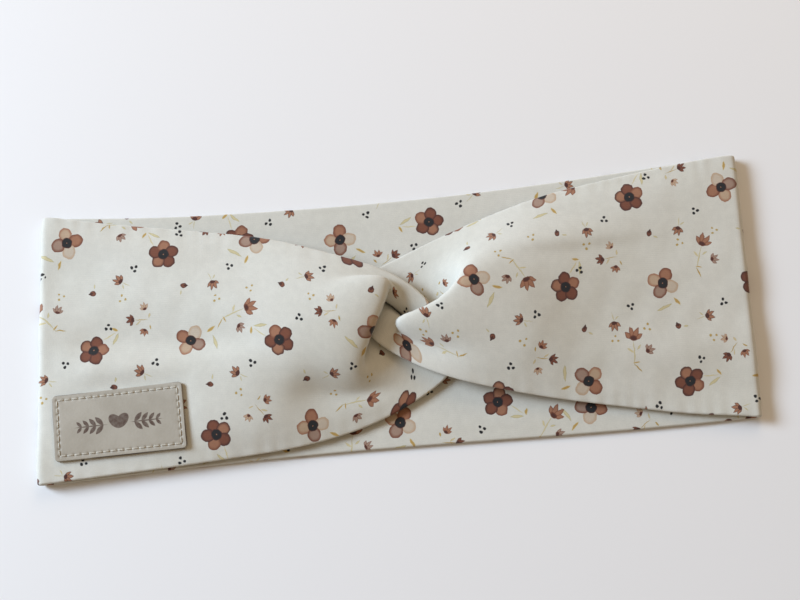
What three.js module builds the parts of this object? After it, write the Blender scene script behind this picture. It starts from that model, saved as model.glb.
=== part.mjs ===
// Knotted jersey headband, lying flat with its twist in the middle of the front half.
// Millimetres. +X runs along the band, +Y towards its upper edge, +Z up from the surface it lies on.
import * as THREE from 'three';

// ---- driving dimensions ----
const plyThickness = 0.5;        // one ply of jersey
const plyGap = 0.7;              // between the two plies, for the seam and label threads
const bandHalfWidth = 41;        // half the width of the band at its folds
const leftFold = -106.9;         // middle of the left fold, at the centre of the ply pair
const rightFold = 107.8;
const foldSlant = 2.2;           // how far each fold leans over half the width of the band
const foldShoulder = 2;          // from a fold to where the band is flat again
const stackHalf = plyGap / 2 + plyThickness;   // half the thickness of the ply pair
const backHeight = stackHalf;    // the back half lies on the surface
const frontHeight = 3.3;         // the front half beside the folds
const stitchInset = 1.6;         // from the band's edge to its seam thread
const seamThreadWidth = 0.9;
const seamThreadThickness = 0.3;
const seamEndHeight = 2.9;       // the raw ends of the folded layers, over the back half
const closingThread = 0.34;      // thickness of the closing seam's thread
const closingDrop = 0.72;        // from the raw ends down to that thread
const closingPasses = 16;        // times the thread crosses from one side of the seam to the other
const closingReach = 2.9;        // half the width of the seam across its layers
const closingLine = { lower: [17.5, -15], upper: [-9, 11] };

const labelLength = 39;
const labelWidth = 19.6;
const labelThickness = 1.0;
const labelCorner = 1.2;
const labelCentre = { x: -84.1, y: -24.9 };
const labelTurn = 0.012;         // radians
const labelGap = 0.25;           // between the label and the ply under it
const stitchLineInset = 1.5;     // from the label's edge to its stitch line
const stitchPitch = 2.1;
const needleHole = 0.9;
const threadThickness = 0.36;
const stitchClearance = 0.16;    // between the label and the thread on it
const stitchDip = 0.34;          // how far the thread sinks at each needle hole
const stitchRise = 0.3;          // the part of a stitch over which its thread comes up out of a hole

// ---- how finely the curves are cut ----
const twistSteps = 3;            // steps along the band from one point of the net to the next
const bendSteps = 2;
const flatSteps = 1;
const stepsAcross = 2;           // steps across the band from one row of the net to the next
const arcSegments = 3;
const stepsPerPass = 3;

// ---- colours ----
const clothColour = 0xe4e0d6;
const liningColour = 0xe1ddd2;
const threadColour = 0xe9e6de;
const labelColour = 0xada598;
const labelThreadColour = 0xc9c4b8;
const clothRoughness = 0.9;
const labelRoughness = 0.65;
const threadRoughness = 0.7;

// ---- the band as a net of control points ----
// Each half of the front is ten rows from the lower edge to the upper one. A row's seven points go
// from beside the twist, over it, and down to the closing seam.
const leftTwist = [
  [[-24, -36, 2.9], [-12, -33.4, 2.9], [-1, -29.2, 2.9], [8, -24.6, 2.9], [13.4, -21, 3.2],
    [15.4, -18.6, 4], [15.4, -17.1, 2.9]],
  [[-25, -27, 5], [-15, -26.2, 4.8], [-5.5, -24.8, 3.8], [2, -20.6, 2.9], [6, -14.2, 3.1],
    [8.6, -11.6, 3.5], [9, -10.9, 2.9]],
  [[-26, -20.4, 4.8], [-18, -21.8, 3.8], [-11.8, -22.4, 3.3], [-5, -18, 6], [-4.4, -9.2, 3.1],
    [0, -4.8, 3.5], [2.1, -4.1, 2.9]],
  [[-26.5, -14.6, 10.2], [-18.5, -16, 11.4], [-13.6, -17.8, 10.6], [-12.6, -16.8, 8.8],
    [-17, -6.4, 5.2], [-10, 3, 3.7], [-7.1, 5, 2.9]],
  [[-27, -6.6, 12.2], [-18, -5.6, 13.2], [-9.8, -4.8, 12.9], [-5, -5, 11.2], [-10, 3.6, 8.8],
    [-12.4, 10.6, 6.4], [-11.3, 11.8, 2.9]],
  [[-27, 0, 12.4], [-17, 2.5, 13.2], [-7, 4.4, 13.4], [-1, 3.4, 11.9], [-4, 4.6, 8.8],
    [-3, 5.8, 6], [-1.7, 6, 2.9]],
  [[-27, 6, 11.6], [-16.5, 8.6, 12.2], [-6, 11.8, 12.6], [-0.2, 10.6, 12.6], [-2.4, 6.6, 8],
    [1, 2.6, 5.6], [2.3, 1.3, 2.9]],
  [[-26, 11.2, 10.6], [-16, 11, 10.6], [-6.2, 10.9, 9.2], [0.6, 7, 7.2], [3.4, 1.9, 6],
    [6.4, -1.6, 5.2], [6.5, -2.8, 2.9]],
  [[-25, 16.8, 8.8], [-14, 14, 9.4], [-3.8, 12.2, 9], [5, 6, 8], [9.2, -1.6, 6.8],
    [10.6, -5.4, 5.4], [10.2, -6.5, 2.9]],
  [[-24.5, 22.8, 6.8], [-13, 18.2, 8], [-2.5, 13.8, 8.3], [6.7, 7.6, 8], [13, -0.4, 7.2],
    [13.2, -6.7, 6.4], [12.6, -9.3, 2.9]],
];
const rightTwist = [
  [[30, -26, 5.6], [19, -22.8, 6.6], [9, -18.8, 7.1], [-1.5, -12.4, 5.8], [-11, -4.6, 6.7],
    [-5.3, 3.5, 5.9], [-3.6, 5, 2.9]],
  [[31, -19.5, 7.6], [21, -17, 8.2], [12, -14, 7], [4, -9.6, 5.8], [-4.5, -3.4, 5.8],
    [-1.6, 2, 5.2], [-1.6, 2.8, 2.9]],
  [[31.5, -13.5, 9.2], [21, -12.8, 9.6], [11, -10.8, 7.4], [2.4, -7.2, 6.6], [2, -4.5, 6],
    [1.4, -2, 5.2], [2, -1.3, 2.9]],
  [[32, -7.5, 10.4], [22, -9.5, 10.9], [6, -6, 11.6], [-3.6, -2.8, 10.4], [3.4, -2.6, 8.6],
    [5.6, -4.6, 5.8], [6.2, -5.3, 2.9]],
  [[32, -1, 11.4], [23, -1.6, 12.3], [12, -2.6, 12.4], [2.6, -0.8, 11.2], [8.6, -4.4, 8.8],
    [9.6, -8.4, 6.2], [10.2, -9.8, 2.9]],
  [[32, 5.5, 11.6], [23.5, 5, 12.6], [16.5, 3.4, 12.4], [16, 1.6, 11.4], [17, -5, 8.8],
    [19.4, -14.6, 6.4], [19.4, -16.6, 2.9]],
  [[32, 11.5, 11.4], [26.5, 11.8, 12.2], [24, 11, 12.4], [22.6, 10, 10.6], [21.5, -0.5, 5.4],
    [17.8, -8, 3.7], [15.8, -8.8, 2.9]],
  [[32.5, 17, 9.6], [26, 17.4, 8], [20.4, 16.2, 5.4], [14.5, 13, 3.8], [12, 7.5, 3.1],
    [8.8, 2, 3.5], [6.4, 0.1, 2.9]],
  [[31, 23, 5.6], [22, 21.6, 4.6], [14, 18.2, 3.5], [7.5, 14, 3], [3.2, 9.8, 3.1],
    [0.2, 7.4, 3.5], [-0.5, 6.9, 2.9]],
  [[30, 28, 2.9], [19, 24.2, 2.9], [9, 20.4, 2.9], [0.8, 17, 2.9], [-4.5, 14.8, 3.3],
    [-6.8, 13.8, 4.2], [-6.9, 13.1, 2.9]],
];

// Between a fold and the twist only the two edges are given, with how far the cloth rises between
// them: [lower edge x, y, upper edge x, y, lower edge z, upper edge z, rise].
const leftField = [
  [-36, -37.6, -36, 27.2, 2.9, 5.4, 6.6],
  [-52, -38.5, -51, 30.6, 2.9, 4.2, 4.6],
  [-70, -39.5, -68, 34, 2.9, 3.4, 2.4],
  [-89, -40.2, -86, 37.2, 3.0, 3.1, 0.9],
  [-103, -40.8, -99, 40.2, frontHeight, frontHeight, 0.1],
];
const rightField = [
  [41, -28.9, 42, 31.7, 4.4, 2.9, 6.8],
  [54, -31.9, 54, 34.6, 3.6, 2.9, 4.6],
  [70, -35.2, 71, 37, 3.1, 2.9, 2.6],
  [86, -38.6, 88, 39.4, 3.0, 3.0, 0.9],
  [100, -40.2, 104, 41, frontHeight, frontHeight, 0.1],
];

// The back half lies flat: [x, lower edge y, upper edge y].
const backField = [
  [-96, -41, 40.6],
  [-72, -40, 38.2],
  [-30, -39.4, 36.8],
  [15, -40, 36.4],
  [60, -41.2, 38.4],
  [96, -41.2, 41],
];

const rowCount = leftTwist.length;

function fieldColumn([lowX, lowY, highX, highY, lowZ, highZ, rise]) {
  const column = [];
  for (let row = 0; row < rowCount; row += 1) {
    const part = row / (rowCount - 1);
    const arch = 4 * part * (1 - part);          // 0 at both edges and 1 halfway
    column.push(new THREE.Vector3(
      lowX + (highX - lowX) * part,
      lowY + (highY - lowY) * part,
      lowZ + (highZ - lowZ) * part + rise * arch,
    ));
  }
  return column;
}

// A fold takes four columns: two of the front over two of the back.
function foldColumns(foldX, inward) {
  const slanted = (x, z) => fieldColumn(
    [x - foldSlant, -bandHalfWidth, x + foldSlant, bandHalfWidth, z, z, 0],
  );
  const shoulder = foldX + foldShoulder * inward;
  const front = [slanted(shoulder, frontHeight), slanted(foldX, frontHeight)];
  const back = [slanted(foldX, backHeight), slanted(shoulder, backHeight)];
  return front.concat(back);
}

function twistColumns(rows) {
  return rows[0].map((_, i) => rows.map((row) => new THREE.Vector3(...row[i])));
}

// The net goes from the closing seam over the left half, round the left fold, along the back,
// round the right fold and over the right half to the closing seam again.
const leftHalf = twistColumns(leftTwist).reverse().concat(leftField.map(fieldColumn));
const rightHalf = twistColumns(rightTwist).reverse().concat(rightField.map(fieldColumn));
const back = backField.map(([x, lowY, highY]) => fieldColumn(
  [x - foldSlant / 2, lowY, x + foldSlant / 2, highY, backHeight, backHeight, 0],
));
const net = [
  ...leftHalf,
  ...foldColumns(leftFold, 1),
  ...back,
  ...foldColumns(rightFold, -1).reverse(),
  ...rightHalf.reverse(),
];
const lastColumn = net.length - 1;
const lastRow = rowCount - 1;
const fieldStart = leftTwist[0].length - 1;      // column where the left twist meets the left field
const foldStart = leftHalf.length - 1;           // column where the left field meets the fold
const foldEnd = foldStart + 5;                   // column where the fold meets the back half

// ---- the smooth surface near the net: a uniform cubic spline both ways ----
function splineWeights(t) {
  const s = 1 - t;
  return [
    s * s * s / 6,
    (3 * t * t * t - 6 * t * t + 4) / 6,
    (-3 * t * t * t + 3 * t * t + 3 * t + 1) / 6,
    t * t * t / 6,
  ];
}

// A point past either end mirrors its neighbour, so that the surface ends at the net's own edge.
function splineTerms(parameter, last) {
  const start = Math.min(Math.floor(parameter), last - 1);
  const weights = splineWeights(parameter - start);
  const terms = new Map();
  const add = (index, weight) => terms.set(index, (terms.get(index) ?? 0) + weight);
  weights.forEach((weight, i) => {
    const index = start - 1 + i;
    if (index < 0) {
      add(0, 2 * weight);
      add(1, -weight);
    } else if (index > last) {
      add(last, 2 * weight);
      add(last - 1, -weight);
    } else {
      add(index, weight);
    }
  });
  return terms;
}

function middlePoint(u, v) {
  const point = new THREE.Vector3();
  for (const [column, a] of splineTerms(u, lastColumn)) {
    for (const [row, b] of splineTerms(v, lastRow)) {
      point.addScaledVector(net[column][row], a * b);
    }
  }
  return point;
}

function outwardNormal(u, v) {
  const step = 0.02;                             // part of the net's spacing
  const alongU = middlePoint(Math.min(u + step, lastColumn), v)
    .sub(middlePoint(Math.max(u - step, 0), v));
  const alongV = middlePoint(u, Math.min(v + step, lastRow))
    .sub(middlePoint(u, Math.max(v - step, 0)));
  return alongV.cross(alongU).normalize();
}

function clothPoint(u, v, offset) {
  return middlePoint(u, v).addScaledVector(outwardNormal(u, v), offset);
}

// ---- solids made from grids of points ----
function addGrid(positions, indices, grid, flip) {
  const first = positions.length / 3;
  const width = grid[0].length;
  for (const line of grid) {
    for (const point of line) positions.push(point.x, point.y, point.z);
  }
  for (let i = 0; i + 1 < grid.length; i += 1) {
    for (let j = 0; j + 1 < width; j += 1) {
      const a = first + i * width + j;
      const b = a + 1;
      const c = a + width + 1;
      const d = a + width;
      if (flip) indices.push(a, c, b, a, d, c);
      else indices.push(a, b, c, a, c, d);
    }
  }
}

function slabFromGrids(outer, inner) {
  const positions = [];
  const indices = [];
  const across = outer[0].length - 1;
  const firstOuter = outer[0];
  const lastOuter = outer[outer.length - 1];
  const firstInner = inner[0];
  const lastInner = inner[inner.length - 1];
  addGrid(positions, indices, outer, false);
  addGrid(positions, indices, inner, true);
  addGrid(positions, indices, [inner.map((line) => line[0]), outer.map((line) => line[0])], true);
  addGrid(positions, indices, [inner.map((line) => line[across]), outer.map((line) => line[across])], false);
  addGrid(positions, indices, [firstInner, firstOuter], false);
  addGrid(positions, indices, [lastInner, lastOuter], true);
  const geometry = new THREE.BufferGeometry();
  geometry.setAttribute('position', new THREE.Float32BufferAttribute(positions, 3));
  geometry.setIndex(indices);
  return geometry;
}

function samples(last, stepsIn) {
  const values = [0];
  for (let i = 0; i < last; i += 1) {
    const steps = stepsIn(i);
    for (let k = 1; k <= steps; k += 1) values.push(i + k / steps);
  }
  return values;
}

// The twist and the bends need a finer grid than the flat back.
function stepsAlong(column) {
  const fromEnd = Math.min(column, lastColumn - 1 - column);
  if (fromEnd < fieldStart) return twistSteps;
  return fromEnd < foldEnd ? bendSteps : flatSteps;
}
const alongBand = samples(lastColumn, stepsAlong);
const acrossBand = samples(lastRow, () => stepsAcross);

function plySolid(lowOffset, highOffset) {
  const grid = (offset) => alongBand.map((u) => acrossBand.map((v) => clothPoint(u, v, offset)));
  return slabFromGrids(grid(highOffset), grid(lowOffset));
}

// ---- threads ----
// The seam thread is a flat ribbon between the plies, the same distance from the edge all along.
function edgeStitching(upper) {
  const edge = upper ? lastRow : 0;
  const nearEdge = upper ? -0.2 : 0.2;           // part of a row, over which the distance is measured
  const inset = (u, distance) => {
    const reach = middlePoint(u, edge).distanceTo(middlePoint(u, edge + nearEdge));
    return edge + nearEdge * distance / reach;
  };
  const near = stitchInset;
  const far = stitchInset + seamThreadWidth;
  const strip = (offset) => alongBand.slice(1, -1).map((u) => {
    const pair = [clothPoint(u, inset(u, near), offset), clothPoint(u, inset(u, far), offset)];
    return upper ? pair.reverse() : pair;
  });
  return slabFromGrids(strip(seamThreadThickness / 2), strip(-seamThreadThickness / 2));
}

function tubeAlong(points, thickness, steps) {
  const section = new THREE.Shape();
  section.absarc(0, 0, thickness / 2, 0, 2 * Math.PI, false);
  return new THREE.ExtrudeGeometry(section, {
    steps,
    curveSegments: arcSegments,
    bevelEnabled: false,
    extrudePath: new THREE.CatmullRomCurve3(points, false, 'centripetal'),
  });
}

// The overlocked thread runs to and fro under the raw ends of the four folded layers.
function closingStitching() {
  const lowerEnd = new THREE.Vector3(...closingLine.lower, 0);
  const upperEnd = new THREE.Vector3(...closingLine.upper, 0);
  const along = upperEnd.clone().sub(lowerEnd);
  const across = new THREE.Vector3(-along.y, along.x, 0).normalize().multiplyScalar(closingReach);
  const height = seamEndHeight - closingThread / 2 - closingDrop;
  const points = [];
  for (let i = 0; i <= closingPasses; i += 1) {
    const side = i % 2 === 0 ? 1 : -1;
    const point = lowerEnd.clone().addScaledVector(along, i / closingPasses);
    point.addScaledVector(across, side).setZ(height);
    points.push(point);
  }
  return tubeAlong(points, closingThread, closingPasses * stepsPerPass);
}

// ---- the label ----
// The cloth's height under a point of the label, found by moving over the surface to that point
// from a place near the label.
function clothUnder(x, y) {
  let u = fieldStart + leftField.length - 2;
  let v = lastRow / 5;
  const step = 0.05;
  const moves = 12;
  for (let i = 0; i < moves; i += 1) {
    const here = clothPoint(u, v, stackHalf);
    const overU = clothPoint(u + step, v, stackHalf).sub(here).divideScalar(step);
    const overV = clothPoint(u, v + step, stackHalf).sub(here).divideScalar(step);
    const missX = x - here.x;
    const missY = y - here.y;
    const area = overU.x * overV.y - overU.y * overV.x;
    u += (missX * overV.y - missY * overV.x) / area;
    v += (missY * overU.x - missX * overU.y) / area;
  }
  return { u, v, height: clothPoint(u, v, stackHalf).z };
}

function labelToBand(x, y) {
  const cos = Math.cos(labelTurn);
  const sin = Math.sin(labelTurn);
  return { x: labelCentre.x + x * cos - y * sin, y: labelCentre.y + x * sin + y * cos };
}

function needleHoles() {
  const halfLength = labelLength / 2 - stitchLineInset;
  const halfWidth = labelWidth / 2 - stitchLineInset;
  const corners = [
    [-halfLength, -halfWidth],
    [halfLength, -halfWidth],
    [halfLength, halfWidth],
    [-halfLength, halfWidth],
  ];
  const holes = [];
  corners.forEach(([x, y], i) => {
    const [nextX, nextY] = corners[(i + 1) % corners.length];
    const count = Math.round(Math.hypot(nextX - x, nextY - y) / stitchPitch);
    for (let k = 0; k < count; k += 1) {
      holes.push([x + (nextX - x) * k / count, y + (nextY - y) * k / count]);
    }
  });
  return holes;
}

function bendOverCloth(geometry, lift) {
  const position = geometry.getAttribute('position');
  for (let i = 0; i < position.count; i += 1) {
    const place = labelToBand(position.getX(i), position.getY(i));
    const height = clothUnder(place.x, place.y).height + lift + position.getZ(i);
    position.setXYZ(i, place.x, place.y, height);
  }
  return geometry;
}

function labelSolid() {
  const halfLength = labelLength / 2;
  const halfWidth = labelWidth / 2;
  const shape = new THREE.Shape();
  shape.moveTo(-halfLength + labelCorner, -halfWidth);
  [[1, -1], [1, 1], [-1, 1], [-1, -1]].forEach(([sideX, sideY], i) => {
    const centreX = sideX * (halfLength - labelCorner);
    const centreY = sideY * (halfWidth - labelCorner);
    const from = (i - 1) * Math.PI / 2;
    shape.absarc(centreX, centreY, labelCorner, from, from + Math.PI / 2, false);
  });
  for (const [x, y] of needleHoles()) {
    const hole = new THREE.Path();
    hole.absarc(x, y, needleHole / 2, 0, 2 * Math.PI, true);
    shape.holes.push(hole);
  }
  const slab = new THREE.ExtrudeGeometry(shape, {
    depth: labelThickness, bevelEnabled: false, curveSegments: arcSegments,
  });
  return bendOverCloth(slab, labelGap);
}

// The needle thread lies on the label and dips into each hole.
function needleThread() {
  const holes = needleHoles();
  const above = labelGap + labelThickness + threadThickness / 2 + stitchClearance;
  const points = [];
  holes.forEach(([x, y], i) => {
    const [nextX, nextY] = holes[(i + 1) % holes.length];
    const rise = [[0, above - stitchDip], [stitchRise, above], [1 - stitchRise, above]];
    for (const [part, lift] of rise) {
      const place = labelToBand(x + (nextX - x) * part, y + (nextY - y) * part);
      points.push(new THREE.Vector3(place.x, place.y, clothUnder(place.x, place.y).height + lift));
    }
  });
  return tubeAlong(points, threadThickness, points.length);
}

// The bobbin thread runs between the two plies, under the stitch line.
function bobbinThread() {
  const points = needleHoles().map(([x, y]) => {
    const place = labelToBand(x, y);
    const { u, v } = clothUnder(place.x, place.y);
    return middlePoint(u, v);
  });
  return tubeAlong(points, seamThreadThickness, points.length);
}

// ---- the assembly ----
const group = new THREE.Group();

function addPiece(name, geometry, colour, roughness) {
  const material = new THREE.MeshStandardMaterial({ color: colour, roughness, metalness: 0 });
  const mesh = new THREE.Mesh(geometry, material);
  mesh.name = name;
  group.add(mesh);
}

addPiece('outer_strip', plySolid(plyGap / 2, stackHalf), clothColour, clothRoughness);
addPiece('lining_strip', plySolid(-stackHalf, -plyGap / 2), liningColour, clothRoughness);
addPiece('upper_edge_stitching', edgeStitching(true), threadColour, threadRoughness);
addPiece('lower_edge_stitching', edgeStitching(false), threadColour, threadRoughness);
addPiece('closing_seam_stitching', closingStitching(), threadColour, threadRoughness);
addPiece('label', labelSolid(), labelColour, labelRoughness);
addPiece('label_needle_thread', needleThread(), labelThreadColour, threadRoughness);
addPiece('label_bobbin_thread', bobbinThread(), labelThreadColour, threadRoughness);

// The origin is in the middle of the underside.
const box = new THREE.Box3().setFromObject(group);
const middle = box.getCenter(new THREE.Vector3());
group.position.set(-middle.x, -middle.y, 0);

export default group;
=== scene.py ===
"""Looks of the knotted jersey headband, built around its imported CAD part.

The two plies of jersey follow the same net of control points as the CAD solids, with soft relief,
rounded seam edges and a printed knit. The label, its stitches and the seam threads are rebuilt too.
The net is in millimetres; every mesh is in metres, in the frame of the CAD.
"""

import math

import bpy
import numpy as np
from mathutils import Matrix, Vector
from mathutils.bvhtree import BVHTree


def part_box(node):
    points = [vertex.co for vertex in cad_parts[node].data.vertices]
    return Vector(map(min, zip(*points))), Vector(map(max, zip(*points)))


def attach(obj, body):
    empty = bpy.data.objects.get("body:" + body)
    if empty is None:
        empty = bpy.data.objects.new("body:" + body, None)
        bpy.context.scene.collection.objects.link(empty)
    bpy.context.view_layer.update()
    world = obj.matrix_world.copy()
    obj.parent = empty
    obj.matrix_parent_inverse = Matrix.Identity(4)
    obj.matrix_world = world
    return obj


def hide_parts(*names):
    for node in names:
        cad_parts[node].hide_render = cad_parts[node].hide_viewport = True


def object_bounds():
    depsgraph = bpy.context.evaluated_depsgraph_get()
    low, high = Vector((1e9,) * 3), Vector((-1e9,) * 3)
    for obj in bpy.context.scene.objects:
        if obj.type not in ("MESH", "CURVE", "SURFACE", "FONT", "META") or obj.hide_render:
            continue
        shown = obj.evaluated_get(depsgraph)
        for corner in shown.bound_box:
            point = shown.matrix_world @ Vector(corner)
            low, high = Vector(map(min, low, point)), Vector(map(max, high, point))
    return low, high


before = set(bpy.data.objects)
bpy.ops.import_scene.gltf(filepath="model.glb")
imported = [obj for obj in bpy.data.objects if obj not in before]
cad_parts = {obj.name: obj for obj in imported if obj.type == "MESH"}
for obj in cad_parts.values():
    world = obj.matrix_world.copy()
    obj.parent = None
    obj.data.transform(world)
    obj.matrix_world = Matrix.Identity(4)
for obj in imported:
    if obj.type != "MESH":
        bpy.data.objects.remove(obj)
cad_low, cad_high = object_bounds()

MM = 0.001

# ---- driving dimensions, in millimetres ----
PLY_THICKNESS = 0.5
PLY_GAP = 0.7                # between the two plies
STACK_HALF = PLY_GAP / 2 + PLY_THICKNESS
BAND_HALF_WIDTH = 41
LEFT_FOLD = -106.9
RIGHT_FOLD = 107.8
FOLD_SLANT = 2.2             # how far a fold leans over half the width
FOLD_SHOULDER = 2            # from a fold in to the points that shape it
FRONT_HEIGHT = 3.3
BACK_HEIGHT = STACK_HALF
CUT_WIDTH = 82

CLOTH_STEP = 1.25            # spacing of the cloth's mesh
LEAST_STEPS = 6              # mesh steps along the band from one point of the net to the next
EDGE_RADIUS = 0.6            # rounding of the sewn long edges
EDGE_STEPS = 6               # rows of the mesh in that rounding
EDGE_ROWS = (1.6, 2.6)       # rows just inside it
EDGE_MARGIN = 3.8            # from the edge in to where the even spacing starts
PRESSED_HALF = 0.6           # half the thickness of both plies where the edge is pressed flat
PRESSED_REACH = 6            # and how far in from the edge that goes
SEAM_GROOVE = 0.07           # half the groove between the two plies
INNER_SHARE = 0.4            # most of the height of a ply's outer face that its inner face may have
PUCKER_HEIGHT = 0.11
PUCKER_PITCH = 5.2
PUCKER_REACH = 3.5

# Where the relief sets in and where it is full.
WAVES_FROM_SEAM = (5, 8)     # points of the net from the closing seam
PUCKERS_FROM_SEAM = (3, 6)
WAVES_FROM_FLOOR = (2.0, 3.4)     # millimetres, from here on
PUCKERS_FROM_FLOOR = (1.0, 2.2)
WAVES_FROM_EDGE = (0, 9)
RELIEF_FROM_LABEL = (0, 7)

SEAM_THREAD = 0.26
SEAM_PITCH = 2.4
SEAM_INSET = 1.5             # from the long edge in to the seam's thread
SEAM_REACH = 1.3             # and how far it goes to and fro
SEAM_END_HEIGHT = 2.9        # of the cloth's raw ends over the closing seam
CLOSING_THREAD = 0.34
CLOSING_DROP = 0.72          # from the raw ends down to that thread
CLOSING_PASSES = 16          # times the thread goes across the seam and back
CLOSING_REACH = 2.9          # half the width of the seam across its layers
CLOSING_LOWER = (17.5, -15)
CLOSING_UPPER = (-9, 11)
PLY_BULGE = 0.16             # how far a thread's plies stand out of it, as a share of its radius

LABEL_LENGTH = 39
LABEL_WIDTH = 19.6
LABEL_THICKNESS = 1.0
LABEL_CORNER = 1.2
LABEL_CENTRE = (-84.1, -24.9)
LABEL_TURN = 0.012           # radians
LABEL_GAP = 0.1
LABEL_STEP = 0.3
LABEL_EDGE_PLACES = (0, 0.05, 0.14, 0.24, 0.36)   # rows of the mesh beside the label's border
LABEL_ROUNDING = 0.2
STITCH_LINE_INSET = 1.5
STITCH_PITCH = 2.1
NEEDLE_DIMPLE = 0.4          # how deep each needle hole draws the label in
DIMPLE_RADIUS = 0.28
STITCH_GROOVE = 0.04         # depth of the groove along the stitches
GROOVE_HALF_WIDTH = 0.7
LABEL_THREAD = 0.28
# Along one stitch from hole to hole: how far along it is, and how high over the label.
STITCH_PROFILE = [
    (0.06, -0.4), (0.14, -0.08), (0.3, 0.03), (0.5, 0.06), (0.7, 0.03), (0.86, -0.08), (0.94, -0.4),
]

WALE = 0.62                  # width of one column of the knit
COURSE = 0.5                 # height of one loop

# ---- the band as a net of control points, as in the CAD ----
LEFT_TWIST = [
    [(-24, -36, 2.9), (-12, -33.4, 2.9), (-1, -29.2, 2.9), (8, -24.6, 2.9), (13.4, -21, 3.2),
     (15.4, -18.6, 4), (15.4, -17.1, 2.9)],
    [(-25, -27, 5), (-15, -26.2, 4.8), (-5.5, -24.8, 3.8), (2, -20.6, 2.9), (6, -14.2, 3.1),
     (8.6, -11.6, 3.5), (9, -10.9, 2.9)],
    [(-26, -20.4, 4.8), (-18, -21.8, 3.8), (-11.8, -22.4, 3.3), (-5, -18, 6), (-4.4, -9.2, 3.1),
     (0, -4.8, 3.5), (2.1, -4.1, 2.9)],
    [(-26.5, -14.6, 10.2), (-18.5, -16, 11.4), (-13.6, -17.8, 10.6), (-12.6, -16.8, 8.8),
     (-17, -6.4, 5.2), (-10, 3, 3.7), (-7.1, 5, 2.9)],
    [(-27, -6.6, 12.2), (-18, -5.6, 13.2), (-9.8, -4.8, 12.9), (-5, -5, 11.2), (-10, 3.6, 8.8),
     (-12.4, 10.6, 6.4), (-11.3, 11.8, 2.9)],
    [(-27, 0, 12.4), (-17, 2.5, 13.2), (-7, 4.4, 13.4), (-1, 3.4, 11.9), (-4, 4.6, 8.8),
     (-3, 5.8, 6), (-1.7, 6, 2.9)],
    [(-27, 6, 11.6), (-16.5, 8.6, 12.2), (-6, 11.8, 12.6), (-0.2, 10.6, 12.6), (-2.4, 6.6, 8),
     (1, 2.6, 5.6), (2.3, 1.3, 2.9)],
    [(-26, 11.2, 10.6), (-16, 11, 10.6), (-6.2, 10.9, 9.2), (0.6, 7, 7.2), (3.4, 1.9, 6),
     (6.4, -1.6, 5.2), (6.5, -2.8, 2.9)],
    [(-25, 16.8, 8.8), (-14, 14, 9.4), (-3.8, 12.2, 9), (5, 6, 8), (9.2, -1.6, 6.8),
     (10.6, -5.4, 5.4), (10.2, -6.5, 2.9)],
    [(-24.5, 22.8, 6.8), (-13, 18.2, 8), (-2.5, 13.8, 8.3), (6.7, 7.6, 8), (13, -0.4, 7.2),
     (13.2, -6.7, 6.4), (12.6, -9.3, 2.9)],
]
RIGHT_TWIST = [
    [(30, -26, 5.6), (19, -22.8, 6.6), (9, -18.8, 7.1), (-1.5, -12.4, 5.8), (-11, -4.6, 6.7),
     (-5.3, 3.5, 5.9), (-3.6, 5, 2.9)],
    [(31, -19.5, 7.6), (21, -17, 8.2), (12, -14, 7), (4, -9.6, 5.8), (-4.5, -3.4, 5.8),
     (-1.6, 2, 5.2), (-1.6, 2.8, 2.9)],
    [(31.5, -13.5, 9.2), (21, -12.8, 9.6), (11, -10.8, 7.4), (2.4, -7.2, 6.6), (2, -4.5, 6),
     (1.4, -2, 5.2), (2, -1.3, 2.9)],
    [(32, -7.5, 10.4), (22, -9.5, 10.9), (6, -6, 11.6), (-3.6, -2.8, 10.4), (3.4, -2.6, 8.6),
     (5.6, -4.6, 5.8), (6.2, -5.3, 2.9)],
    [(32, -1, 11.4), (23, -1.6, 12.3), (12, -2.6, 12.4), (2.6, -0.8, 11.2), (8.6, -4.4, 8.8),
     (9.6, -8.4, 6.2), (10.2, -9.8, 2.9)],
    [(32, 5.5, 11.6), (23.5, 5, 12.6), (16.5, 3.4, 12.4), (16, 1.6, 11.4), (17, -5, 8.8),
     (19.4, -14.6, 6.4), (19.4, -16.6, 2.9)],
    [(32, 11.5, 11.4), (26.5, 11.8, 12.2), (24, 11, 12.4), (22.6, 10, 10.6), (21.5, -0.5, 5.4),
     (17.8, -8, 3.7), (15.8, -8.8, 2.9)],
    [(32.5, 17, 9.6), (26, 17.4, 8), (20.4, 16.2, 5.4), (14.5, 13, 3.8), (12, 7.5, 3.1),
     (8.8, 2, 3.5), (6.4, 0.1, 2.9)],
    [(31, 23, 5.6), (22, 21.6, 4.6), (14, 18.2, 3.5), (7.5, 14, 3), (3.2, 9.8, 3.1),
     (0.2, 7.4, 3.5), (-0.5, 6.9, 2.9)],
    [(30, 28, 2.9), (19, 24.2, 2.9), (9, 20.4, 2.9), (0.8, 17, 2.9), (-4.5, 14.8, 3.3),
     (-6.8, 13.8, 4.2), (-6.9, 13.1, 2.9)],
]
# lower edge x, y, upper edge x, y, lower edge z, upper edge z, rise between them
LEFT_FIELD = [
    (-36, -37.6, -36, 27.2, 2.9, 5.4, 6.6),
    (-52, -38.5, -51, 30.6, 2.9, 4.2, 4.6),
    (-70, -39.5, -68, 34, 2.9, 3.4, 2.4),
    (-89, -40.2, -86, 37.2, 3.0, 3.1, 0.9),
    (-103, -40.8, -99, 40.2, FRONT_HEIGHT, FRONT_HEIGHT, 0.1),
]
RIGHT_FIELD = [
    (41, -28.9, 42, 31.7, 4.4, 2.9, 6.8),
    (54, -31.9, 54, 34.6, 3.6, 2.9, 4.6),
    (70, -35.2, 71, 37, 3.1, 2.9, 2.6),
    (86, -38.6, 88, 39.4, 3.0, 3.0, 0.9),
    (100, -40.2, 104, 41, FRONT_HEIGHT, FRONT_HEIGHT, 0.1),
]
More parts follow.
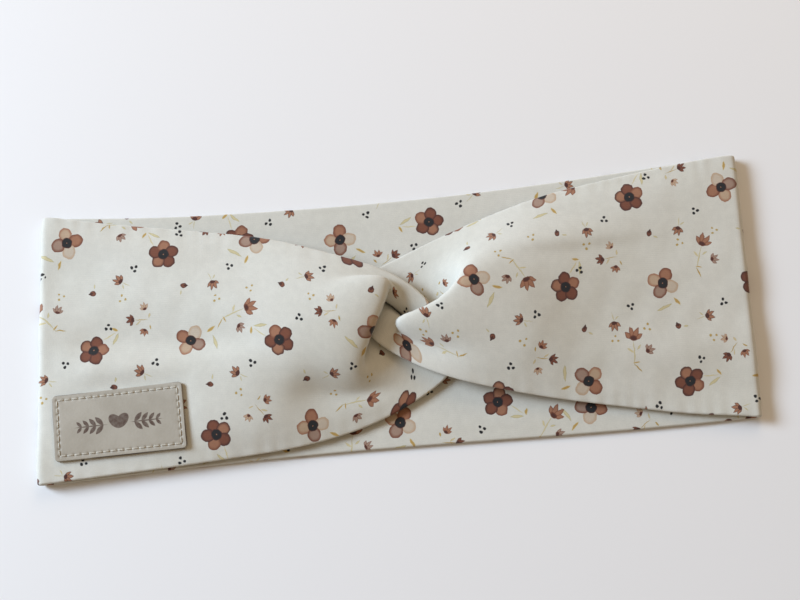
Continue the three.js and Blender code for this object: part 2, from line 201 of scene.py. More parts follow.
# x, lower edge y, upper edge y
BACK_FIELD = [
    (-96, -41, 40.6),
    (-72, -40, 38.2),
    (-30, -39.4, 36.8),
    (15, -40, 36.4),
    (60, -41.2, 38.4),
    (96, -41.2, 41),
]
ROWS = len(LEFT_TWIST)


def field_column(low_x, low_y, high_x, high_y, low_z, high_z, rise):
    v = np.arange(ROWS) / (ROWS - 1)
    return np.stack([
        low_x + (high_x - low_x) * v,
        low_y + (high_y - low_y) * v,
        low_z + (high_z - low_z) * v + rise * 4 * v * (1 - v),
    ], axis=-1)


def fold_columns(fold_x, inward):
    def slanted(x, z):
        return field_column(
            x - FOLD_SLANT, -BAND_HALF_WIDTH, x + FOLD_SLANT, BAND_HALF_WIDTH, z, z, 0
        )

    shoulder = fold_x + FOLD_SHOULDER * inward
    return [
        slanted(shoulder, FRONT_HEIGHT),
        slanted(fold_x, FRONT_HEIGHT),
        slanted(fold_x, BACK_HEIGHT),
        slanted(shoulder, BACK_HEIGHT),
    ]


def band_net():
    """Columns of control points, from the closing seam round the whole loop to the seam again."""
    left = list(np.array(LEFT_TWIST, float).transpose(1, 0, 2)[::-1])
    left += [field_column(*f) for f in LEFT_FIELD]
    right = list(np.array(RIGHT_TWIST, float).transpose(1, 0, 2)[::-1])
    right += [field_column(*f) for f in RIGHT_FIELD]
    half_slant = FOLD_SLANT / 2
    back = [
        field_column(x - half_slant, low, x + half_slant, high, BACK_HEIGHT, BACK_HEIGHT, 0)
        for x, low, high in BACK_FIELD
    ]
    left_fold = fold_columns(LEFT_FOLD, 1)
    right_fold = fold_columns(RIGHT_FOLD, -1)
    return np.array(left + left_fold + back + right_fold[::-1] + right[::-1])


NET = band_net()
COLUMNS = len(NET)


# ---- the smooth surface through the net ----
def spline_matrix(parameters, count):
    """The share of each control point in the curve's points at these parameters."""
    last = count - 1
    start = np.minimum(np.floor(parameters).astype(int), last - 1)
    t = parameters - start
    s = 1 - t
    weights = [
        s**3 / 6,
        (3 * t**3 - 6 * t**2 + 4) / 6,
        (-3 * t**3 + 3 * t**2 + 3 * t + 1) / 6,
        t**3 / 6,
    ]
    matrix = np.zeros((len(parameters), count))
    rows = np.arange(len(parameters))
    for i, weight in enumerate(weights):
        index = start - 1 + i
        inside = (index >= 0) & (index <= last)
        np.add.at(matrix, (rows[inside], index[inside]), weight[inside])
        # a point past either end mirrors its neighbour
        for outside, end, inner in ((index < 0, 0, 1), (index > last, last, last - 1)):
            np.add.at(matrix, (rows[outside], end), 2 * weight[outside])
            np.add.at(matrix, (rows[outside], inner), -weight[outside])
    return matrix


def along_samples():
    """Parameters along the band, about CLOTH_STEP apart on the cloth, and closer in the folds."""
    middle = NET[:, ROWS // 2]
    values = [0.0]
    for i, length in enumerate(np.linalg.norm(np.diff(middle, axis=0), axis=1)):
        steps = max(LEAST_STEPS, math.ceil(length / CLOTH_STEP))
        values += [i + k / steps for k in range(1, steps + 1)]
    return np.array(values)


def across_samples():
    """Parameters across the band, close together where the edges are rounded."""
    row_width = CUT_WIDTH / (ROWS - 1)
    rounded = EDGE_RADIUS * (1 - np.cos(np.linspace(0, math.pi / 2, EDGE_STEPS)))
    near_edge = np.concatenate([rounded, EDGE_ROWS]) / row_width
    inner_count = round((CUT_WIDTH - 2 * EDGE_MARGIN) / CLOTH_STEP)
    margin = EDGE_MARGIN / row_width
    inner = np.linspace(margin, ROWS - 1 - margin, inner_count)
    return np.concatenate([near_edge, inner, (ROWS - 1 - near_edge)[::-1]])


def normals_of(points):
    along = np.gradient(points, axis=0)
    across = np.gradient(points, axis=1)
    normal = np.cross(across, along)
    return normal / np.linalg.norm(normal, axis=-1, keepdims=True)


def smooth_step(low, high, value):
    t = np.clip((value - low) / (high - low), 0, 1)
    return t * t * (3 - 2 * t)


def soft_noise(x, y, wavelength, seed, waves=7):
    """A smooth random field from about -1 to 1, made of a few waves in seeded directions."""
    random = np.random.default_rng(seed)
    total = np.zeros(np.broadcast(x, y).shape)
    for _ in range(waves):
        angle = random.uniform(0, 2 * math.pi)
        pitch = wavelength * random.uniform(0.7, 1.5)
        phase = random.uniform(0, 2 * math.pi)
        total += np.sin((x * math.cos(angle) + y * math.sin(angle)) * 2 * math.pi / pitch + phase)
    return total / math.sqrt(waves)


ALONG = along_samples()
ACROSS = across_samples()


def cloth_coordinates(points):
    """Each point's place on the flat cloth, measured on the surface.

    It is how far along from the middle of the back, how far across from the middle line, and how
    far from the nearer long edge.
    """
    steps = np.linalg.norm(np.diff(points, axis=0), axis=-1)
    along = np.concatenate([np.zeros((1, points.shape[1])), np.cumsum(steps, axis=0)])
    middle = np.argmin(np.abs(ALONG - (COLUMNS - 1) / 2))
    along -= along[middle]
    steps = np.linalg.norm(np.diff(points, axis=1), axis=-1)
    across = np.concatenate([np.zeros((points.shape[0], 1)), np.cumsum(steps, axis=1)], axis=1)
    from_edge = np.minimum(across, across[:, -1:] - across)
    across -= across[:, -1:] / 2
    return along, across, from_edge


# Long creases pressed into the front. Each has its height, its y at x = 0, how much it leans, how far
# it reaches below and above that line, and the stretch of x in which it fades in and out.
CREASES = [
    (1.0, 15.2, 0.045, 2.6, 7.0, (24, 40), (62, 92)),
    (-0.8, -8.2, -0.09, 3.6, 6.0, (-104, -90), (-46, -28)),
    (0.8, -15.8, -0.07, 6.0, 5.0, (-104, -90), (-50, -34)),
    (0.6, 8.0, -0.06, 8.0, 8.0, (-104, -86), (-54, -34)),
    (0.5, -16.0, -0.05, 7.0, 6.0, (40, 56), (84, 100)),
]


def crease(x, y, height, middle, lean, reach_below, reach_above, fade_in, fade_out):
    """The height of one crease of the table at x, y."""
    above = y - middle - lean * x
    reach = np.where(above < 0, reach_below, reach_above)
    fade = smooth_step(*fade_in, x) * (1 - smooth_step(*fade_out, x))
    return height * np.exp(-(above / reach) ** 2) * fade


def relief(points, along, from_edge):
    """Soft unevenness of pressed jersey: long shallow waves on the front and puckers at the seams."""
    x, y, z = np.moveaxis(points, -1, 0)
    column = ALONG[:, None]
    from_seam = np.minimum(column, COLUMNS - 1 - column)
    off_label = smooth_step(*RELIEF_FROM_LABEL, np.maximum(
        np.abs(x - LABEL_CENTRE[0]) - LABEL_LENGTH / 2,
        np.abs(y - LABEL_CENTRE[1]) - LABEL_WIDTH / 2,
    ))
    long_waves = 0.42 * soft_noise(x / 2.4, y, 26, seed=3)
    short_waves = 0.05 * soft_noise(x, y * 1.4, 11, seed=8)
    creases = sum(crease(x, y, *terms) for terms in CREASES)
    height = (long_waves + short_waves + creases) * smooth_step(*WAVES_FROM_SEAM, from_seam)
    height *= smooth_step(*WAVES_FROM_FLOOR, z) * off_label
    height *= smooth_step(*WAVES_FROM_EDGE, from_edge)
    uneven = 2.5 * soft_noise(along, 0, 23, seed=5)
    pucker = np.sin(along * 2 * math.pi / PUCKER_PITCH + uneven)
    pucker *= PUCKER_HEIGHT * np.exp(-from_edge / PUCKER_REACH) * off_label
    pucker *= smooth_step(*PUCKERS_FROM_SEAM, from_seam) * smooth_step(*PUCKERS_FROM_FLOOR, z)
    return height + pucker


def band_surface():
    """The surface midway between the plies, its normals and its coordinates on the cloth."""
    points = np.einsum(
        "ai,bj,ijk->abk",
        spline_matrix(ALONG, COLUMNS),
        spline_matrix(ACROSS, ROWS),
        NET,
    )
    along, across, from_edge = cloth_coordinates(points)
    points = points + normals_of(points) * relief(points, along, from_edge)[..., None]
    return points, normals_of(points), along, across, from_edge


SURFACE, NORMALS, CLOTH_ALONG, CLOTH_ACROSS, FROM_EDGE = band_surface()


def frame_shift():
    """From the net's own millimetres to the CAD frame: the outer ply's box has the same middle."""
    low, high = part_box("outer_strip")
    outer = (SURFACE + NORMALS * STACK_HALF).reshape(-1, 3)[:, :2]
    middle = (outer.min(axis=0) + outer.max(axis=0)) / 2
    return np.array([*((np.array(low) + np.array(high))[:2] / 2 / MM - middle), 0.0])


SHIFT = frame_shift()


def to_frame(points):
    return (np.asarray(points, float) + SHIFT) * MM


# ---- meshes ----
CLOTH_MAP = "cloth"


def new_piece(name, vertices, faces, uvs=None):
    """A piece in the CAD frame, riding on the object's one body. uvs holds a pair per vertex."""
    mesh = bpy.data.meshes.new(name)
    mesh.from_pydata(vertices.tolist(), [], faces)
    mesh.shade_smooth()
    if uvs is not None:
        layer = mesh.uv_layers.new(name=CLOTH_MAP)
        corners = np.zeros(len(mesh.loops), int)
        mesh.loops.foreach_get("vertex_index", corners)
        layer.data.foreach_set("uv", np.asarray(uvs, float)[corners].ravel())
    piece = bpy.data.objects.new(name, mesh)
    bpy.context.collection.objects.link(piece)
    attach(piece, "root")
    return piece


def grid_faces(rows, columns, first=0, flip=False):
    a = (np.arange(rows - 1)[:, None] * columns + np.arange(columns - 1)).ravel() + first
    quads = np.stack([a, a + 1, a + columns + 1, a + columns], axis=1)
    return (quads[:, ::-1] if flip else quads).tolist()


def rim_faces(rows, columns):
    """Quads that join the borders of two equal grids, the second one after the first."""
    border = list(range(columns))
    border += [i * columns + columns - 1 for i in range(1, rows)]
    border += [(rows - 1) * columns + j for j in range(columns - 2, -1, -1)]
    border += [i * columns for i in range(rows - 2, 0, -1)]
    count = rows * columns
    following = border[1:] + border[:1]
    return [(b, a, a + count, b + count) for a, b in zip(border, following)]


def slab(upper, lower):
    """The closed solid between two grids of points, the upper one on its outward side."""
    rows, columns = upper.shape[:2]
    vertices = np.concatenate([upper.reshape(-1, 3), lower.reshape(-1, 3)])
    faces = grid_faces(rows, columns)
    faces += grid_faces(rows, columns, first=rows * columns, flip=True)
    return vertices, faces + rim_faces(rows, columns)


def tube(path, radius, sides=6, closed=False, plies=0, lay=1.0):
    """A closed tube round a path of points. plies twists a rope-like section, one turn per lay."""
    path = np.asarray(path, float)
    count = len(path)
    if closed:
        tangent = np.roll(path, -1, axis=0) - np.roll(path, 1, axis=0)
    else:
        tangent = np.gradient(path, axis=0)
    tangent /= np.linalg.norm(tangent, axis=1, keepdims=True)
    side = np.cross(tangent, (0, 0, 1))
    weak = np.linalg.norm(side, axis=1) < 1e-6
    side[weak] = (1, 0, 0)
    side /= np.linalg.norm(side, axis=1, keepdims=True)
    top = np.cross(side, tangent)
    run = np.concatenate([[0], np.cumsum(np.linalg.norm(np.diff(path, axis=0), axis=1))])
    angle = np.arange(sides) * 2 * math.pi / sides
    turned = angle[None, :] + run[:, None] * 2 * math.pi / lay
    size = np.full_like(turned, radius)
    if plies:
        size *= 1 + PLY_BULGE * np.cos(plies * turned)
    ring = (
        side[:, None] * (np.cos(angle) * size)[..., None]
        + top[:, None] * (np.sin(angle) * size)[..., None]
    )
    vertices = (path[:, None] + ring).reshape(-1, 3)
    faces = []
    for i in range(count if closed else count - 1):
        here, there = i * sides, (i + 1) % count * sides
        for k in range(sides):
            after = (k + 1) % sides
            faces.append((here + k, here + after, there + after, there + k))
    if not closed:
        faces.append(tuple(range(sides - 1, -1, -1)))
        faces.append(tuple(range((count - 1) * sides, count * sides)))
    return vertices, faces


def joined(parts):
    vertices, faces, first = [], [], 0
    for part_vertices, part_faces in parts:
        vertices.append(part_vertices)
        faces += [tuple(i + first for i in face) for face in part_faces]
        first += len(part_vertices)
    return np.concatenate(vertices), faces


def smooth_path(points, steps):
    """A Catmull-Rom curve through the points."""
    points = np.asarray(points, float)
    padded = np.concatenate([[2 * points[0] - points[1]], points, [2 * points[-1] - points[-2]]])
    t = np.arange(steps)[:, None] / steps
    curve = []
    for p0, p1, p2, p3 in zip(padded, padded[1:], padded[2:], padded[3:]):
        curve.append(0.5 * (
            2 * p1
            + (p2 - p0) * t
            + (2 * p0 - 5 * p1 + 4 * p2 - p3) * t**2
            + (3 * p1 - p0 - 3 * p2 + p3) * t**3
        ))
    return np.concatenate(curve + [points[-1:]])


# ---- the two plies ----
def ply(name, side):
    """One ply as a thin closed sheet. At the long edges both plies curve in to the seam's groove."""
    inward = np.clip(FROM_EDGE / EDGE_RADIUS, 0, 1)
    roundness = np.sqrt(1 - (1 - inward) ** 2)
    face = SEAM_GROOVE + (PRESSED_HALF - SEAM_GROOVE) * roundness
    face += (STACK_HALF - PRESSED_HALF) * smooth_step(EDGE_RADIUS / 2, PRESSED_REACH, FROM_EDGE)
    inner = np.minimum(PLY_GAP / 2, INNER_SHARE * face)
    outside = SURFACE + side * NORMALS * face[..., None]
    inside = SURFACE + side * NORMALS * inner[..., None]
    grids = (outside, inside) if side > 0 else (inside, outside)
    vertices, faces = slab(to_frame(grids[0]), to_frame(grids[1]))
    flat = np.stack([CLOTH_ALONG.ravel(), side * CLOTH_ACROSS.ravel()], axis=1) * MM
    return new_piece(name, vertices, faces, np.concatenate([flat, flat]))


outer_cloth = ply("outer_cloth", 1)
lining_cloth = ply("lining_cloth", -1)
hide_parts("outer_strip")
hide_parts("lining_strip")


# ---- seam threads ----
def sew_edge(name, node, upper):
    """The long seam's thread, to and fro between the plies beside one long edge."""
    run = CLOTH_ALONG[:, -1 if upper else 0]
    count = int((run[-1] - run[0]) / SEAM_PITCH) * 2
    points = []
    for i in range(1, count):
        place = run[0] + (run[-1] - run[0]) * i / count
        row = int(np.clip(np.searchsorted(run, place), 1, len(run) - 1))
        inset = SEAM_INSET + (SEAM_REACH if i % 2 else 0)
        order = -1 if upper else 1
        from_edge = FROM_EDGE[row][::order]
        column = int(np.searchsorted(from_edge[: len(from_edge) // 2], inset))
        points.append(SURFACE[row, ::order][column])
    vertices, faces = tube(smooth_path(points, steps=3), SEAM_THREAD / 2, sides=5)
    piece = new_piece(name, to_frame(vertices), faces)
    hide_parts(node)
    return piece


def sew_closing_seam():
    """The overlocked thread that runs to and fro under the raw ends of the four folded layers."""
    lower = np.array([*CLOSING_LOWER, 0.0])
    upper = np.array([*CLOSING_UPPER, 0.0])
    along = upper - lower
    across = np.array([-along[1], along[0], 0.0])
    across *= CLOSING_REACH / np.linalg.norm(across)
    height = SEAM_END_HEIGHT - CLOSING_THREAD / 2 - CLOSING_DROP
    points = []
    for i in range(CLOSING_PASSES * 2 + 1):
        side = 1 if i % 2 == 0 else -1
        point = lower + along * i / (CLOSING_PASSES * 2) + across * side
        points.append((point[0], point[1], height))
    vertices, faces = tube(
        smooth_path(points, steps=8), CLOSING_THREAD / 2, sides=10, plies=2, lay=CLOSING_THREAD * 4
    )
    piece = new_piece("closing_stitches", to_frame(vertices), faces)
    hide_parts("closing_seam_stitching")
    return piece


upper_edge_stitches = sew_edge("upper_edge_stitches", "upper_edge_stitching", upper=True)
lower_edge_stitches = sew_edge("lower_edge_stitches", "lower_edge_stitching", upper=False)
closing_stitches = sew_closing_seam()


# ---- the label ----
def surface_below():
    """A function that gives the height of the outer ply under a point of the frame."""
    mesh = outer_cloth.data
    tree = BVHTree.FromPolygons(
        [v.co for v in mesh.vertices], [p.vertices for p in mesh.polygons]
    )
    above = cad_high[2] + 10 * MM

    def find(x, y):
        place = tree.ray_cast(Vector((x, y, above)), Vector((0, 0, -1)))[0]
        return place[2]

    return find


height_below = surface_below()


def on_label(x, y, lift):
    """The point of the frame that is lift over the cloth, at x, y on the label."""
    cos, sin = math.cos(LABEL_TURN), math.sin(LABEL_TURN)
    flat = to_frame((
        LABEL_CENTRE[0] + x * cos - y * sin,
        LABEL_CENTRE[1] + x * sin + y * cos,
        0,
    ))
    return (flat[0], flat[1], height_below(flat[0], flat[1]) + lift * MM)


def needle_holes():
    half_length = LABEL_LENGTH / 2 - STITCH_LINE_INSET
    half_width = LABEL_WIDTH / 2 - STITCH_LINE_INSET
    corners = [(-half_length, -half_width), (half_length, -half_width),
               (half_length, half_width), (-half_length, half_width)]
    holes = []
    for (x, y), (next_x, next_y) in zip(corners, corners[1:] + corners[:1]):
        count = round(math.hypot(next_x - x, next_y - y) / STITCH_PITCH)
        holes += [
            (x + (next_x - x) * k / count, y + (next_y - y) * k / count) for k in range(count)
        ]
    return np.array(holes)


HOLES = needle_holes()


def rounded_corner(x, y):
    """Moves a point of a rectangle's corner square into the quarter disc of that corner."""
    inner = np.array([LABEL_LENGTH / 2 - LABEL_CORNER, LABEL_WIDTH / 2 - LABEL_CORNER])
    past = np.maximum(np.abs([x, y]) - inner, 0)
    if past.min() <= 0:
        return x, y
    scale = past.max() / np.linalg.norm(past)
    moved = inner + past * scale
    return math.copysign(moved[0], x), math.copysign(moved[1], y)


def label_height(x, y):
    """Thickness of the label at a point: rounded at its border, drawn in along the stitches."""
    to_border = min(LABEL_LENGTH / 2 - abs(x), LABEL_WIDTH / 2 - abs(y))
    inward = min(to_border / LABEL_ROUNDING, 1)
    rounding = LABEL_ROUNDING * (1 - math.sqrt(1 - (1 - inward) ** 2))
    distance = np.hypot(HOLES[:, 0] - x, HOLES[:, 1] - y).min()
    dimple = NEEDLE_DIMPLE * math.exp(-((distance / DIMPLE_RADIUS) ** 2))
    groove = STITCH_GROOVE * math.exp(-(((to_border - STITCH_LINE_INSET) / GROOVE_HALF_WIDTH) ** 2))
    return LABEL_THICKNESS - rounding - dimple - groove


def spaced(length, step, fine):
    """Places from -length / 2 to length / 2, with finer ones beside both ends."""
    half = length / 2
    inner = np.linspace(-half + fine[-1] + step, half - fine[-1] - step,
                        round((length - 2 * fine[-1]) / step) - 1)
    ends = half - np.array(fine)
    return np.concatenate([-ends, inner, ends[::-1]])


def cut_label():
    xs = spaced(LABEL_LENGTH, LABEL_STEP, LABEL_EDGE_PLACES)
    ys = spaced(LABEL_WIDTH, LABEL_STEP, LABEL_EDGE_PLACES)
    top = np.zeros((len(ys), len(xs), 3))
    bottom = np.zeros_like(top)
    uvs = np.zeros((len(ys), len(xs), 2))
    for j, y in enumerate(ys):
        for i, x in enumerate(xs):
            px, py = rounded_corner(x, y)
            top[j, i] = on_label(px, py, LABEL_GAP + label_height(x, y))
            bottom[j, i] = on_label(px, py, LABEL_GAP)
            uvs[j, i] = px * MM, py * MM
    vertices, faces = slab(top[:, ::-1], bottom[:, ::-1])
    uvs = uvs[:, ::-1].reshape(-1, 2)
    piece = new_piece("leather_label", vertices, faces, np.concatenate([uvs, uvs]))
    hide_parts("label")
    return piece


def sew_label():
    """One stitch between each two needle holes: it rises out of one and sinks into the next."""
    top = LABEL_GAP + LABEL_THICKNESS
    parts = []
    for (x, y), (next_x, next_y) in zip(HOLES, np.roll(HOLES, -1, axis=0)):
        points = [
            on_label(x + (next_x - x) * part, y + (next_y - y) * part, top + lift)
            for part, lift in STITCH_PROFILE
        ]
        parts.append(tube(
            smooth_path(points, steps=4), LABEL_THREAD / 2 * MM, sides=10, plies=2,
            lay=LABEL_THREAD * 3.4 * MM,
        ))
    vertices, faces = joined(parts)
    piece = new_piece("label_stitches", vertices, faces)
    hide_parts("label_needle_thread")
    return piece


def sew_label_back():
    """The thread that locks the label's stitches, between the two plies."""
    points = [on_label(x, y, -PLY_THICKNESS - PLY_GAP / 2) for x, y in HOLES]
    vertices, faces = tube(points, SEAM_THREAD / 2 * MM, closed=True)
    piece = new_piece("label_bobbin_stitches", vertices, faces)
    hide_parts("label_bobbin_thread")
    return piece


leather_label = cut_label()
label_stitches = sew_label()
label_bobbin_stitches = sew_label_back()


# ---- material nodes ----
class Nodes:
    """Short calls that add one shader node each to a tree and return its result."""

    def __init__(self, tree):
        self.tree = tree

    def new(self, kind, inputs=(), **settings):
        node = self.tree.nodes.new(kind)
        for key, value in settings.items():
            setattr(node, key, value)
        for name, value in dict(inputs).items():
            self.feed(node.inputs[name], value)
        return node

    def feed(self, socket, value):
        if isinstance(value, bpy.types.NodeSocket):
            self.tree.links.new(value, socket)
        else:
            socket.default_value = value

    def math(self, operation, a, b=0.0):
        return self.new("ShaderNodeMath", {0: a, 1: b}, operation=operation).outputs[0]

    def vector(self, operation, a, b=(0, 0, 0)):
        node = self.new("ShaderNodeVectorMath", {0: a, 1: b}, operation=operation)
        return node.outputs["Value" if operation == "LENGTH" else "Vector"]

    def ramp(self, value, low, high, to_low=0.0, to_high=1.0):
        inputs = {"Value": value, "From Min": low, "From Max": high,
                  "To Min": to_low, "To Max": to_high}
        return self.new("ShaderNodeMapRange", inputs, interpolation_type="SMOOTHSTEP").outputs[0]

    def mix(self, factor, a, b):
        node = self.new("ShaderNodeMix", data_type="RGBA")
        self.feed(node.inputs[0], factor)
        self.feed(node.inputs[6], a)
        self.feed(node.inputs[7], b)
        return node.outputs[2]

    def noise(self, vector, scale, detail=2.0, roughness=0.5):
        inputs = {"Vector": vector, "Scale": scale, "Detail": detail, "Roughness": roughness}
        return self.new("ShaderNodeTexNoise", inputs)

    def group(self, tree, inputs):
        node = self.new("ShaderNodeGroup", node_tree=tree)
        for name, value in inputs.items():
            self.feed(node.inputs[name], value)
        return node.outputs[0]

    def uv(self):
        return self.new("ShaderNodeUVMap", uv_map=CLOTH_MAP).outputs[0]

    def bump(self, height, strength, distance):
        inputs = {"Height": height, "Strength": strength, "Distance": distance}
        return self.new("ShaderNodeBump", inputs).outputs[0]


class Material(Nodes):
    """A new material, with its Principled shader."""

    def __init__(self, name):
        self.material = bpy.data.materials.new(name)
        self.material.use_nodes = True
        super().__init__(self.material.node_tree)
        self.shader = self.tree.nodes["Principled BSDF"]


SOCKET_KINDS = {"vector": "NodeSocketVector", "colour": "NodeSocketColor", "number": "NodeSocketFloat"}


def node_group(name, takes, gives, build):
    """A node group. takes maps input names to kinds, and build(nodes, inputs) returns its result."""
    tree = bpy.data.node_groups.new(name, "ShaderNodeTree")
    for socket, kind in takes.items():
        tree.interface.new_socket(socket, in_out="INPUT", socket_type=SOCKET_KINDS[kind])
    tree.interface.new_socket("Result", in_out="OUTPUT", socket_type=SOCKET_KINDS[gives])
    nodes = Nodes(tree)
    inputs = nodes.new("NodeGroupInput").outputs
    nodes.new("NodeGroupOutput", {0: build(nodes, inputs)})
    return tree


def linear(code):
    """A colour code as four linear numbers."""
    parts = [int(code[i:i + 2], 16) / 255 for i in (1, 3, 5)]
    return (*[p / 12.92 if p <= 0.04045 else ((p + 0.055) / 1.055) ** 2.4 for p in parts], 1.0)


# ---- the print ----
WINE = "#472014"
RUST = "#6e3d27"
CLAY = "#94664b"
ROSE = "#947a69"
SAND = "#b0977d"
MIST = "#b9ab98"
BLACK = "#0d0a0b"
MUSTARD = "#ad8d4c"
OLIVE = "#a39b6e"
STRAW = "#c0b48c"

FLOWER_HEART = 1.45          # radius of a flower's black middle, in millimetres
SOFT_RIM = 0.09              # how far a mark's ink fades out at its rim, in millimetres
SOFTEST_RIM = 0.3            # and the most that may be, as a share of its half width

# A motif is a list of marks: shape, x, y, turn in degrees, half length, half width, inner colour,
# rim colour. Lengths are in millimetres on the cloth; a leaf is pointed at both ends.


def petals(count, reach, length, width, tones, start=90):
    marks = []
    for i in range(count):
        angle = start + 360 * i / count
        x = reach * math.cos(math.radians(angle))
        y = reach * math.sin(math.radians(angle))
        marks.append(("round", x, y, angle, length, width, *tones[i % len(tones)]))
    return marks


def flower_heart(size):
    return [
        ("round", 0, 0, 0, 1.15 * size, 1.15 * size, WINE, WINE),
        ("round", 0, 0, 0, size, size, BLACK, BLACK),
        ("round", 0, 0, 0, 0.17, 0.17, CLAY, CLAY),
    ]


def tulip(x, y, turn, size, inner, rim):
    """A small open blossom: pointed petals on a dark base."""
    marks = []
    for lean, reach in ((-52, 0.86), (52, 0.86), (-18, 1.05), (18, 1.05)):
        angle = math.radians(turn + lean)
        half = 0.6 * size * reach
        marks.append(("leaf", x + half * math.cos(angle), y + half * math.sin(angle),
                      turn + lean, half, 0.23 * size, inner, rim))
    base_x = x + 0.14 * size * math.cos(math.radians(turn))
    base_y = y + 0.14 * size * math.sin(math.radians(turn))
    return marks + [("round", base_x, base_y, turn, 0.24 * size, 0.36 * size, WINE, rim)]


DARK_TONES = [(RUST, WINE), (CLAY, WINE), (RUST, WINE), (CLAY, RUST), (RUST, WINE)]
PALE_TONES = [(SAND, CLAY), (CLAY, RUST), (MIST, SAND), (ROSE, RUST)]
DARK_FLOWER = (
    [("leaf", 1.3, -7.2, 62, 2.1, 0.45, STRAW, OLIVE),
     ("leaf", -1.2, -9.0, -25, 1.2, 0.45, MUSTARD, STRAW),
     ("leaf", -0.6, -6.3, 97, 2.4, 0.18, STRAW, STRAW)]
    + petals(5, 2.6, 2.05, 1.95, DARK_TONES)
    + flower_heart(FLOWER_HEART)
)
PALE_FLOWER = (
    [("leaf", -2.4, -6.8, 68, 1.7, 0.5, MUSTARD, STRAW),
     ("leaf", 2.0, -7.4, -8, 2.6, 0.5, STRAW, OLIVE)]
    + petals(4, 2.7, 2.3, 2.05, PALE_TONES, start=38)
    + flower_heart(FLOWER_HEART)
)
SPRIG = (
    [("leaf", 0.2, 0.2, 78, 3.9, 0.19, STRAW, OLIVE),
     ("leaf", -1.7, -4.1, 38, 1.8, 0.2, MUSTARD, OLIVE),
     ("leaf", 1.5, 0.8, 25, 1.2, 0.3, STRAW, STRAW),
     ("leaf", -1.0, 2.1, -55, 0.9, 0.27, STRAW, OLIVE),
     ("leaf", -0.9, -2.5, 160, 1.1, 0.22, MUSTARD, STRAW)]
    + tulip(1.0, 4.1, 88, 3.3, CLAY, RUST)
    + tulip(-3.5, 1.1, 140, 2.1, ROSE, RUST)
)
TRIPLE_SPRIG = (
    [("leaf", 0, 0.4, 88, 2.2, 0.12, MUSTARD, OLIVE),
     ("leaf", 0.9, 1.3, 50, 1.0, 0.2, STRAW, MUSTARD),
     ("leaf", -1.3, -2.0, 15, 0.8, 0.26, STRAW, MUSTARD),
     ("leaf", 2.2, -2.5, -10, 0.8, 0.26, MUSTARD, OLIVE)]
    + tulip(0.1, 2.6, 90, 2.1, RUST, WINE)
    + tulip(-3.1, -0.7, 150, 1.8, SAND, CLAY)
    + tulip(2.8, -0.9, 25, 1.9, CLAY, RUST)
)
BLOSSOM = (
    [("leaf", -0.4, -1.6, 75, 1.5, 0.12, STRAW, OLIVE),
     ("leaf", 0.8, -1.4, 130, 0.8, 0.2, STRAW, OLIVE)]
    + tulip(0, 0, 85, 2.3, CLAY, WINE)
)
BUD = [
    ("round", 0, 0, 60, 0.95, 0.8, RUST, WINE),
    ("leaf", 0.45, 0.45, 50, 0.8, 0.35, WINE, BLACK),
    ("leaf", -2.1, 0.9, 150, 0.75, 0.26, STRAW, OLIVE),
]
BLACK_DOTS = petals(3, 0.82, 0.47, 0.47, [(BLACK, BLACK)])
MUSTARD_DOTS = petals(3, 1.0, 0.38, 0.38, [(MUSTARD, OLIVE)])

# The print in rows, in millimetres: each motif, how far apart it comes along a row, where it lies
# in the row, and how far each one may stray. Every row is moved along by the drift.
ROW_HEIGHT = 29.0
ROW_DRIFT = 21.5
PRINT = [
    (DARK_FLOWER, 58, (0, 0), 1.8), (PALE_FLOWER, 58, (29, 2), 1.8),
    (SPRIG, 58, (14.5, 8.5), 1.2), (TRIPLE_SPRIG, 58, (43.5, 9), 1.2),
    (BLOSSOM, 29, (14, -9.5), 1.2), (BUD, 29, (22.5, -12), 1.0),
    (BLACK_DOTS, 29, (8.5, -6), 1.0), (BLACK_DOTS, 58, (53, 6.5), 1.0),
    (MUSTARD_DOTS, 29, (21, 13.5), 1.0), (MUSTARD_DOTS, 58, (32, -12.5), 1.0),
]
SEED_STEP = 1.7              # between the random seeds of two lines of the print
TRACE = 1e-6                 # share of the colour that goes into the next motif's place


def motif_place(nodes, inputs):
    """Coordinates round one motif of each cell of a row, strayed and turned at random."""
    moved = nodes.vector("SUBTRACT", inputs["Place"], inputs["Centre"])
    split = nodes.new("ShaderNodeSeparateXYZ", {0: moved}).outputs
    row = nodes.math("FLOOR", nodes.math("ADD", nodes.math("DIVIDE", split[1], ROW_HEIGHT), 0.5))
    drifted = nodes.math("ADD", split[0], nodes.math("MULTIPLY", row, ROW_DRIFT))
    drifted = nodes.math("DIVIDE", drifted, inputs["Apart"])
    column = nodes.math("FLOOR", nodes.math("ADD", drifted, 0.5))
    cell = nodes.new("ShaderNodeCombineXYZ", {0: column, 1: row, 2: inputs["Seed"]}).outputs[0]
    chance = nodes.new("ShaderNodeTexWhiteNoise", {"Vector": cell}, noise_dimensions="3D").outputs
    local = nodes.new("ShaderNodeCombineXYZ", {
        0: nodes.math("MULTIPLY", nodes.math("SUBTRACT", drifted, column), inputs["Apart"]),
        1: nodes.math("SUBTRACT", split[1], nodes.math("MULTIPLY", row, ROW_HEIGHT)),
    }).outputs[0]
    either_way = nodes.vector("SUBTRACT", chance["Color"], (0.5, 0.5, 0.5))
    strayed = nodes.vector("SUBTRACT", local, nodes.vector("MULTIPLY", either_way, inputs["Stray"]))
    angle = nodes.math("MULTIPLY", chance["Value"], 2 * math.pi)
    return nodes.new("ShaderNodeVectorRotate", {"Vector": strayed, "Angle": angle},
                     rotation_type="Z_AXIS").outputs[0]


MOTIF_PLACE = node_group("motif_place", {
    "Place": "vector", "Centre": "vector", "Apart": "number", "Stray": "vector", "Seed": "number",
}, "vector", motif_place)


